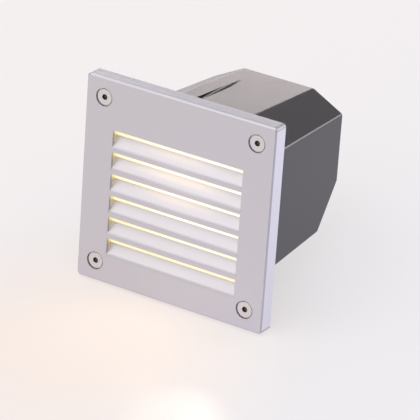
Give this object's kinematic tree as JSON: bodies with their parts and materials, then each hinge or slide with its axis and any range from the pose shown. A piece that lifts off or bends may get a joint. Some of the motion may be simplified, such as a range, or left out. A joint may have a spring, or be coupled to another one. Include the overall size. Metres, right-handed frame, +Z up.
{
  "type": "step light",
  "caption": "Recessed square step light: louvred cast cover over a lit frosted glass, with a drafted eight-sided box and a cable gland behind.",
  "frame": {"origin": "centre of the plane where the rear rim of the cover meets the wall", "axes": "+X right seen from the front, +Y into the wall, +Z up"},
  "size_m": [0.12, 0.1057, 0.12],
  "materials": {
    "cast_silver": "fine matt silver finish on a die casting",
    "stainless": "turned stainless steel",
    "zinc_steel": "zinc plated",
    "grey_silicone": "matt",
    "clear_silicone": "milky",
    "frosted_glass": "frosted on the inner face",
    "white_plastic": "white, matt",
    "white_board": "white solder mask on aluminium",
    "led_phosphor": "yellow silicone",
    "bare_aluminium": "rolled sheet",
    "brass": "turned",
    "red_lead": "smooth insulation",
    "black_lead": "smooth insulation",
    "brown_lead": "smooth insulation",
    "blue_lead": "smooth insulation",
    "green_lead": "green and yellow insulation",
    "black_plastic": "black moulding, satin",
    "black_nylon": "black nylon",
    "black_rubber": "matt"
  },
  "bodies": {
    "box": {"back_box": "black_plastic", "brass_inserts": "brass", "cover_gasket": "grey_silicone", "diffuser_glass": "frosted_glass", "glass_seal": "clear_silicone", "reflector": "white_plastic", "led_board": "white_board", "leds": "led_phosphor", "board_screws": "zinc_steel", "gear_tray": "bare_aluminium", "tray_screws": "zinc_steel", "driver_case": "white_plastic", "driver_lid": "white_plastic", "driver_screws": "zinc_steel", "terminal_block": "white_plastic", "terminal_sleeves": "brass", "terminal_screws": "zinc_steel", "terminal_fixings": "zinc_steel", "earth_screw": "zinc_steel", "earth_tag": "brass", "board_lead_plus": "red_lead", "board_lead_minus": "black_lead", "live_lead": "brown_lead", "neutral_lead": "blue_lead", "earth_lead": "green_lead", "gland_washer": "black_rubber", "gland_body": "black_nylon", "gland_seal": "black_rubber", "gland_locknut": "black_nylon"},
    "cover": {"front_cover": "cast_silver"},
    "screw_top_left": {"cover_screw_top_left": "stainless"},
    "screw_top_right": {"cover_screw_top_right": "stainless"},
    "screw_bottom_left": {"cover_screw_bottom_left": "stainless"},
    "screw_bottom_right": {"cover_screw_bottom_right": "stainless"},
    "gland_cap": {"gland_cap": "black_nylon"}
  },
  "joints": [
    {"name": "cover_lift", "type": "slide", "parent": "box", "child": "cover", "axis": [0, -1, 0], "range_m": [0, 0.05]},
    {"name": "screw_turn_top_left", "type": "hinge", "parent": "cover", "child": "screw_top_left", "pos_m": [-0.0485, 0, 0.0485], "axis": [0, -1, 0], "continuous": true},
    {"name": "screw_turn_top_right", "type": "hinge", "parent": "cover", "child": "screw_top_right", "pos_m": [0.0485, 0, 0.0485], "axis": [0, -1, 0], "continuous": true},
    {"name": "screw_turn_bottom_left", "type": "hinge", "parent": "cover", "child": "screw_bottom_left", "pos_m": [-0.0485, 0, -0.0485], "axis": [0, -1, 0], "continuous": true},
    {"name": "screw_turn_bottom_right", "type": "hinge", "parent": "cover", "child": "screw_bottom_right", "pos_m": [0.0485, 0, -0.0485], "axis": [0, -1, 0], "continuous": true},
    {"name": "gland_cap_turn", "type": "hinge", "parent": "box", "child": "gland_cap", "pos_m": [0, 0.08537, -0.03717], "axis": [0, 0.766, -0.6428], "range_deg": [0, 540]}
  ]
}
